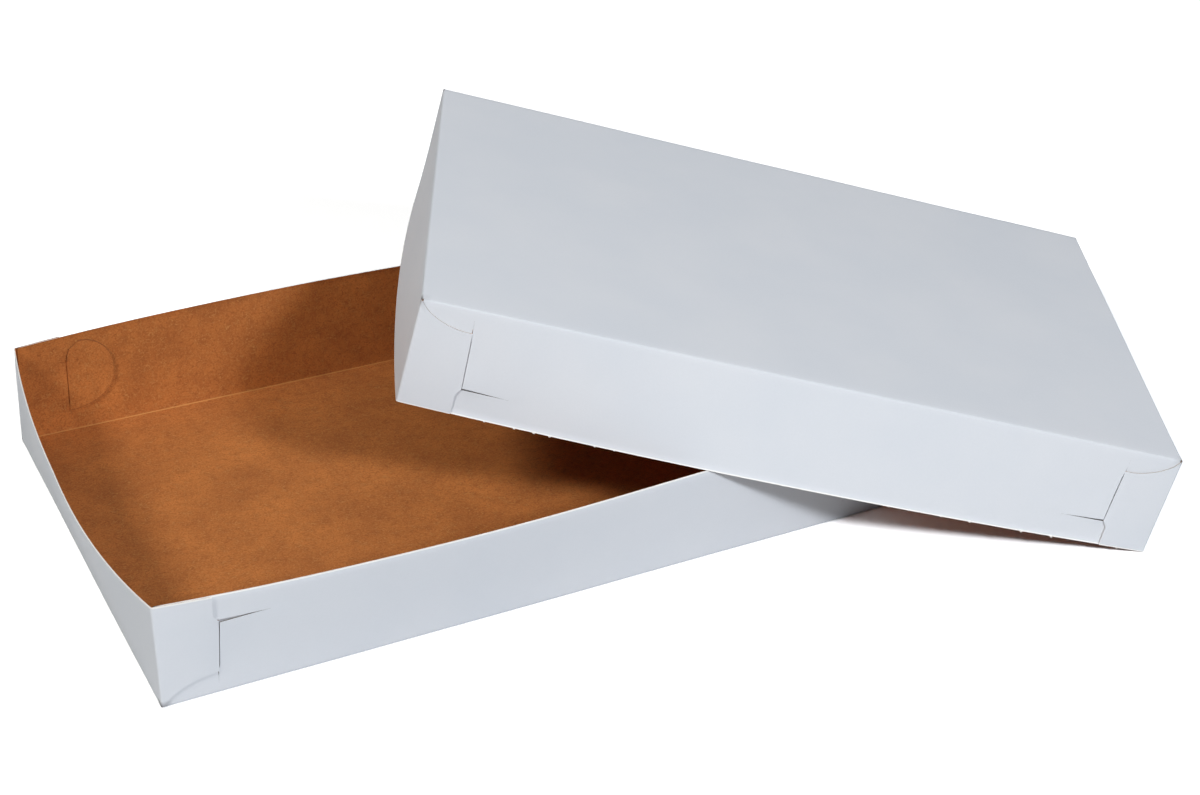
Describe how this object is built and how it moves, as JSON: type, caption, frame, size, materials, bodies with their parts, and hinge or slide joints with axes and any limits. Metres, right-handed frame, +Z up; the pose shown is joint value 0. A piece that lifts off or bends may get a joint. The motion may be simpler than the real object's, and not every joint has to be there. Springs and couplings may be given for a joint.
{
  "type": "bakery box",
  "caption": "Shallow two-piece folded paperboard bakery box with lock corners; the lid is off and leans askew on the open tray.",
  "frame": {"origin": "centre of the underside of the tray's floor panel, on the surface that the box stands on", "axes": "+Z up, +X along the tray's long side towards the end that the lid leans past, +Y across the tray, away from the lid's low front corner"},
  "size_m": [0.63, 0.4098, 0.1515],
  "materials": {
    "tray_board": "smooth clay-coated white outside, plain brown kraft inside",
    "lid_board": "smooth clay-coated white outside, plain brown kraft inside"
  },
  "bodies": {
    "root": {"base_tray": "tray_board", "lid": "lid_board"}
  },
  "joints": []
}
